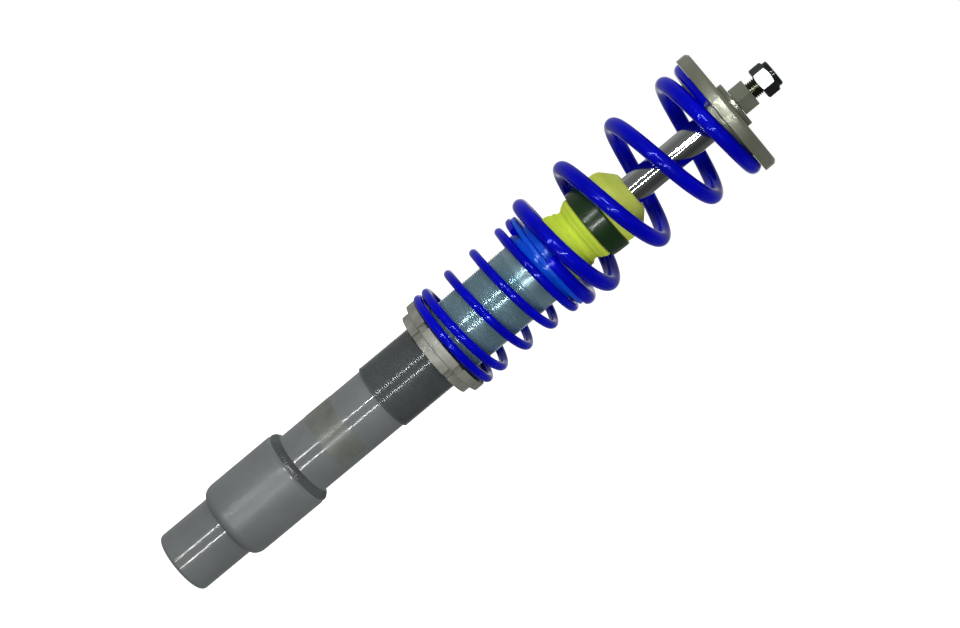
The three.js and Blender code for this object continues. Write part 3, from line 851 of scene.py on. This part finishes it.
# A blank film label wrapped round the tube. Angles run from the front, positive to the right.
def makeLabel(s, radius):
    length = math.radians(s["to"] - s["from"]) * radius
    middle, half = (s["bottom"] + s["top"]) / 2, (s["top"] - s["bottom"]) / 2
    bm = bmesh.new()
    columns = []
    for i in range(s["columns"] + 1):
        along = length * 0.5 * (1 - math.cos(math.pi * i / s["columns"]))
        fromEnd = min(along, length - along, s["corner"])
        trim = s["corner"] - math.sqrt(s["corner"] ** 2 - (s["corner"] - fromEnd) ** 2)
        angle = math.radians(s["from"] - 90) + along / radius
        column = []
        for layer in (s["under"], s["over"]):
            for k in range(s["rows"] + 1):
                height = middle + (half - trim) * (2 * k / s["rows"] - 1)
                r = radius + layer
                column.append(bm.verts.new((
                    r * math.cos(angle) * metre, r * math.sin(angle) * metre, height * metre)))
        columns.append(column)
    rows = s["rows"] + 1
    loop = list(range(rows)) + list(range(2 * rows - 1, rows - 1, -1))
    for a, c in zip(columns, columns[1:]):
        for k in range(len(loop)):
            m, n = loop[k], loop[(k + 1) % len(loop)]
            bm.faces.new((a[m], a[n], c[n], c[m]))
    for column in (columns[0], columns[-1]):
        for k in range(rows - 1):
            bm.faces.new((column[k], column[k + 1], column[rows + k + 1], column[rows + k]))
    bmesh.ops.recalc_face_normals(bm, faces=bm.faces)
    place(finished("tube_label", bm, "label"), "damper_body", slot="casing_paint")


makeCasing(casing)
makeBead(bead)
makeLabel(label, casing["tube"])
print("casing made")


# Perch

perch = {
    "bore": 24.3, "lockRim": 31.3, "collarRim": 35.3, "recess": 34.0, "floor": 228.4,
    "slots": 6, "slotWidth": 6.0, "slotDepth": 3.2, "slotHeight": 20.0, "firstSlot": -60.0,
    "slipBore": 24.6, "slipBottom": 228.7, "slipStep": 229.6, "slipGuide": 30.2,
}


# A turned ring with spanner slots in its rim.
def slotted(name, outline, material, rim, middle, soften):
    blank = bpy.data.meshes.new(name + "Blank")
    bm = turnedMesh(softened(outline, soften), 180, True)
    bm.to_mesh(blank)
    bm.free()
    mesh = grown(name, rimSlots, {
        "Slots": perch["slots"], "Rim": rim, "Depth": perch["slotDepth"], "Width": perch["slotWidth"],
        "Height": perch["slotHeight"], "Middle": middle, "First Angle": perch["firstSlot"],
    }, material, start=blank)
    return finishedMesh(name, mesh, material, sharp=25)


def makePerch(p):
    low, high, rim = bottomOf("lock_ring"), topOf("lock_ring"), p["lockRim"]
    place(slotted("lock_ring_body", ring(p["bore"], rim, low, high), "collar", rim, (low + high) / 2, 0.7),
          "lock_ring", "lock_ring")
    low, high, rim = bottomOf("adjuster_collar"), topOf("adjuster_collar"), p["collarRim"]
    place(slotted("adjuster_collar_body", [
        (p["bore"], low - 0.2), (rim, low - 0.2), (rim, high), (p["recess"], high), (p["recess"], p["floor"]),
        (p["bore"], p["floor"]),
    ], "collar", rim, (low + high) / 2, 0.6), "adjuster_collar", "adjuster_collar")
    rim, high, bore, guide = radiusOf("slip_ring"), topOf("slip_ring"), p["slipBore"], p["slipGuide"]
    lathed("slip_ring", "slip_ring", [
        (bore, p["slipBottom"]), (rim, p["slipBottom"]), (rim, p["slipStep"]), (guide, p["slipStep"]),
        (guide, high - 0.6), (guide - 0.8, high), (bore, high),
    ], "slip")


makePerch(perch)
print("perch made")


# Springs

# Capitalised values are the coil tree's own inputs.
helper = {
    "Turns": 5.2, "Wire": 6.0, "Radius": 33.8, "End Radius": 33.8, "Start Angle": 144.0, "Bottom": 231.3,
    "End Pitch": 5.3, "Closed Below": 0.52, "Ramp Below": 1.3, "Closed Above": 0.56, "Ramp Above": 0.58,
    "Lean": 0.0, "Points": 500, "Wire Sides": 28, "top": 309.6, "seats": (229.75, 310.75),
    "still": 200,               # the point of the wire that neither end moves
    "stillReach": 0.55,         # how far from that point the wire stays still, in wire diameters
}
main = {
    "Turns": 4.95, "Wire": 10.5, "Radius": 37.7, "End Radius": 33.5, "Start Angle": 270.0, "Bottom": 316.0,
    "End Pitch": 6.3, "Closed Below": 0.58, "Ramp Below": 0.73, "Closed Above": 0.41, "Ramp Above": 1.22,
    "Lean": 2.0, "Points": 600, "Wire Sides": 40, "top": 456.9, "seats": (314.05, 456.35),
}


# What an open turn rises beyond a closed one.
def extraPitch(s):
    openTurns = s["Turns"] - s["Closed Below"] - s["Closed Above"] - (s["Ramp Below"] + s["Ramp Above"]) / 2
    return (s["top"] - s["Bottom"] - s["End Pitch"] * s["Turns"]) / openTurns


# The wire of one spring, or of the length of it between two of its points, ground flat where it seats.
# A length is wound one point too far and cut back, so that it ends in the ring its neighbour starts with.
def coil(name, s, first=0, last=None):
    end = s["Points"] - 1
    last = end if last is None else last
    values = {k: v for k, v in s.items() if k[0].isupper()}
    reached = {"From": (first - 1.1) / end, "To": (last + 1.1) / end}
    mesh = grown(name, coilSpring, {**values, **reached, "Extra Pitch": extraPitch(s)}, "spring")
    bm = bmesh.new()
    bm.from_mesh(mesh)
    bm.verts.ensure_lookup_table()
    spare = bm.verts[:s["Wire Sides"]] if first > 0 else []
    spare = spare + (bm.verts[-s["Wire Sides"]:] if last < end else [])
    bmesh.ops.delete(bm, geom=spare, context="VERTS")
    bmesh.ops.holes_fill(bm, edges=[e for e in bm.edges if e.is_boundary])
    bmesh.ops.remove_doubles(bm, verts=bm.verts, dist=1e-7)
    for height, side in zip(s["seats"], (-1, 1)):
        everything = list(bm.verts) + list(bm.edges) + list(bm.faces)
        bmesh.ops.bisect_plane(bm, geom=everything, plane_co=(0, 0, height * metre), plane_no=(0, 0, side),
                               clear_outer=True, dist=1e-7)
        bmesh.ops.holes_fill(bm, edges=[e for e in bm.edges if e.is_boundary])
    bmesh.ops.recalc_face_normals(bm, faces=bm.faces)
    return finished(name, bm, "spring", sharp=40)


def makeMainSpring(s):
    wire = place(coil("main_spring_wire", s), "spring_coupler", "main_spring")
    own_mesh(wire)


# The helper is pressed from both ends, so it is made in two lengths that meet at a still point.
def makeHelperSpring(s):
    lower = coil("helper_spring_lower", s, last=s["still"])
    upper = coil("helper_spring_upper", s, first=s["still"])
    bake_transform(lower)
    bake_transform(upper)
    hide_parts("helper_spring")


makeMainSpring(main)
makeHelperSpring(helper)
print("springs wound")


# Spring coupler

coupler = {
    "spigot": 27.0, "bore": 25.5, "flange": radiusOf("spring_coupler"), "low": bottomOf("spring_coupler"),
    "high": topOf("spring_coupler"), "flangeLow": 310.9, "flangeHigh": 313.9,
    "linerBore": 24.3, "linerRadius": 25.2, "linerInset": 0.5,
}


def makeCoupler(c):
    lathed("spring_coupler", "spring_coupler", [
        (c["bore"], c["low"]), (c["spigot"], c["low"]), (c["spigot"], c["flangeLow"]),
        (c["flange"], c["flangeLow"]), (c["flange"], c["flangeHigh"]), (c["spigot"], c["flangeHigh"]),
        (c["spigot"], c["high"]), (c["bore"], c["high"]),
    ], "coupler", soften=0.6)
    liner = ring(c["linerBore"], c["linerRadius"], c["low"] + c["linerInset"], c["high"] - c["linerInset"])
    lathed("coupler_liner", "spring_coupler", liner, "liner", soften=0.25)


makeCoupler(coupler)


# Body top and bump stop

bodyTop = {
    "bore": 11.0, "spigot": 20.7, "seat": 313.0, "head": 23.7, "wiperHole": 14.3, "wiperFloor": 314.0,
    "wiperBottom": 314.3, "wiperRadius": 14.0, "wiperBore": 10.1,
    "lip": [(12.6, -0.3), (11.6, 0.8), (10.1, 0.5), (10.7, -1.2)],   # radius, height above the nut
}
stop = {
    "bore": 10.5, "base": topOf("gland_nut") + 0.3, "ringLow": bottomOf("bump_stop_ring"),
    "ringHigh": topOf("bump_stop_ring"), "top": topOf("bump_stop_foam"), "neck": 19.6, "tip": 13.2,
    "lower": [(22.5, 326), (22.1, 330), (20.3, 333)],
    "fold": (23.2, 337.4, 4.5, 3.6, 235, 125, 8),
    "middle": [(20.9, 341.6), (22.4, 343.8), (22.6, 346.2)],
    "dome": [(24.2, 366), (23.9, 371), (22.6, 373.8), (15.4, 380.6)],
    "ringBore": 19.7, "ring": [(24.6, 0), (25.2, 5)], "ringRim": 25.4,
}


def makeBodyTop(t):
    low, high = bottomOf("gland_nut"), topOf("gland_nut")
    lathed("gland_nut", "damper_body", [
        (t["bore"], low), (t["spigot"], low), (t["spigot"], t["seat"]), (t["head"], t["seat"]),
        (t["head"], high), (t["wiperHole"], high), (t["wiperHole"], t["wiperFloor"]),
        (t["bore"], t["wiperFloor"]),
    ], "zinc", soften=0.8)
    lathed("rod_wiper", "damper_body", [
        (t["wiperBore"], t["wiperBottom"]), (t["wiperRadius"], t["wiperBottom"]),
        (t["wiperRadius"], high - 0.3), *[(radius, high + above) for radius, above in t["lip"]],
        (t["wiperBore"], t["wiperBottom"] + 1.1),
    ], "rubber", soften=0.2)


def makeBumpStop(s):
    foam = turned("bump_stop_foam_body", [
        (s["bore"], s["base"]), (21.2, s["base"]), (22.3, s["base"] + 2.2), *s["lower"], *arc(*s["fold"]),
        *s["middle"], (s["neck"], s["ringLow"] - 0.05), (s["neck"], s["ringHigh"] + 0.05),
        (23.9, s["ringHigh"] + 0.3), *s["dome"], (s["tip"], s["top"]), (s["bore"], s["top"]),
    ], "foam", soften=1.0)
    place(foam, "damper_body", "bump_stop_foam")
    lathed("bump_stop_ring", "damper_body", [
        (s["ringBore"], s["ringLow"]), *[(radius, s["ringLow"] + above) for radius, above in s["ring"]],
        (s["ringRim"], s["ringHigh"] - 2), (s["ringRim"] - 0.2, s["ringHigh"]),
        (s["ringBore"], s["ringHigh"]),
    ], "stopRing", soften=0.8)


makeBodyTop(bodyTop)
makeBumpStop(stop)
print("body top and bump stop made")


# Rod and what stands on it

rod = {
    "radius": 10.0, "stud": 6.0, "pitch": 1.5, "threadDepth": 0.9, "runOut": 0.7, "shoulder": 456.2,
    "studJoint": 462.2,         # the shaft's piece ends here and the stud's begins, inside the hub
    "chamfer": 1.0, "foot": bottomOf("piston_rod"), "tip": topOf("piston_rod"),
    "pistonStud": 5.0, "pistonShoulder": 232.2, "groove": 279.0, "grooveRadius": 9.0, "grooveWidth": 1.7,
}


def makeRod(r):
    threadTop = r["tip"] - r["chamfer"]
    place(threaded("piston_rod_body", {
        "Sides": 96, "Pitch": r["pitch"], "Depth": r["threadDepth"], "Radius": r["stud"],
        "Bottom": r["studJoint"], "Top": threadTop, "Run Out": r["runOut"],
    }, [
        (r["stud"], threadTop), (r["stud"] - r["chamfer"], r["tip"]), (0, r["tip"]), (0, r["studJoint"]),
        (r["stud"], r["studJoint"]),
    ], "stud"), "rod_assembly", "piston_rod")


def makeRodShaft(r):
    clipTop = r["groove"] + r["grooveWidth"]
    place(turned("piston_rod_shaft", [
        (0, r["foot"]), (r["pistonStud"], r["foot"]), (r["pistonStud"], r["pistonShoulder"]),
        (r["radius"], r["pistonShoulder"]), (r["radius"], r["groove"]), (r["grooveRadius"], r["groove"]),
        (r["grooveRadius"], clipTop), (r["radius"], clipTop), (r["radius"], r["shoulder"]),
        (r["stud"], r["shoulder"]), (r["stud"], r["studJoint"]), (0, r["studJoint"]),
    ], "chrome"), "rod_assembly", slot="rod_chrome")


top = {
    "plate": radiusOf("top_plate"), "plateLow": 456.5, "plateHigh": topOf("top_plate"), "chamfer": 2.0,
    "hub": 31.8, "hubWall": 3.0, "hubLow": bottomOf("top_plate"), "bore": 6.3,
    "washer": radiusOf("top_washer"), "skin": 0.05, "flats": 19.0, "spacerTurn": -60.0, "nutTurn": -96.0,
    "cornerIn": 1.2, "cornerDown": 0.7,
    "nutShoulder": 496.2, "collar": [(9.4, 497.1), (9.1, 497.5)], "collarRadius": 9.1, "mouth": 7.9,
    "mouthFloor": 497.4, "insertBore": 5.7, "insertRadius": 7.8, "insertBottom": 497.8,
}


def makeTop(t):
    bore, hub, inside = t["bore"], t["hub"], t["hub"] - t["hubWall"]
    lathed("top_plate", "rod_assembly", [
        (bore, t["plateLow"]), (inside, t["plateLow"]), (inside, t["hubLow"]), (hub - 1, t["hubLow"]),
        (hub, t["hubLow"] + 1.5), (hub, t["plateLow"]), (t["plate"], t["plateLow"]),
        (t["plate"], t["plateHigh"] - t["chamfer"]), (t["plate"] - t["chamfer"], t["plateHigh"]),
        (bore, t["plateHigh"]),
    ], "plate", soften=0.6, sides=220)
    washer = ring(bore, t["washer"], t["plateHigh"] + t["skin"], topOf("top_washer"))
    lathed("top_washer", "rod_assembly", washer, "steel", soften=0.5)
    corner = t["flats"] / math.sqrt(3)
    edge = corner - t["cornerIn"]
    low, high = bottomOf("hex_spacer"), topOf("hex_spacer")
    place(hexagon("hex_spacer_body", [
        (bore, low), (edge, low), (corner, low + t["cornerDown"]), (corner, high - t["cornerDown"]),
        (edge, high), (bore, high),
    ], t["flats"], t["spacerTurn"], "steel"), "rod_assembly", "hex_spacer")
    low, high, collar, mouth = bottomOf("top_nut"), topOf("top_nut"), t["collarRadius"], t["mouth"]
    place(hexagon("top_nut_body", [
        (bore, low), (edge, low), (corner, low + t["cornerDown"]), (corner, t["nutShoulder"]), *t["collar"],
        (collar, high - 0.8), (collar - 0.6, high), (mouth, high), (mouth, t["mouthFloor"]),
        (bore, t["mouthFloor"]),
    ], t["flats"], t["nutTurn"], "nut"), "rod_assembly", "top_nut")
    insert = ring(t["insertBore"], t["insertRadius"], t["insertBottom"], topOf("nut_insert"))
    lathed("nut_insert", "rod_assembly", insert, "insert")


makeRod(rod)
makeRodShaft(rod)
makeTop(top)
print("rod and top plate made")


# Inner pieces keep their frame shapes and take their finishes.
innerFinishes = {
    "steel": ("inner_tube", "base_valve_shims", "base_valve_bolt", "base_valve_nut", "rebound_clip",
              "compression_shims", "rebound_shims", "piston_nut"),
    "sinter": ("base_valve_body", "rod_guide", "piston"),
    "bronze": ("rod_guide_bush",),
    "rubber": ("rod_oil_seal", "gland_o_ring", "rebound_stop"),
    "slip": ("piston_ring",),
}
for material, nodes in innerFinishes.items():
    for node in nodes:
        mesh = frame["nodes"][node].data
        mesh.materials.clear()
        mesh.materials.append(materials[material])
print("inner pieces finished")
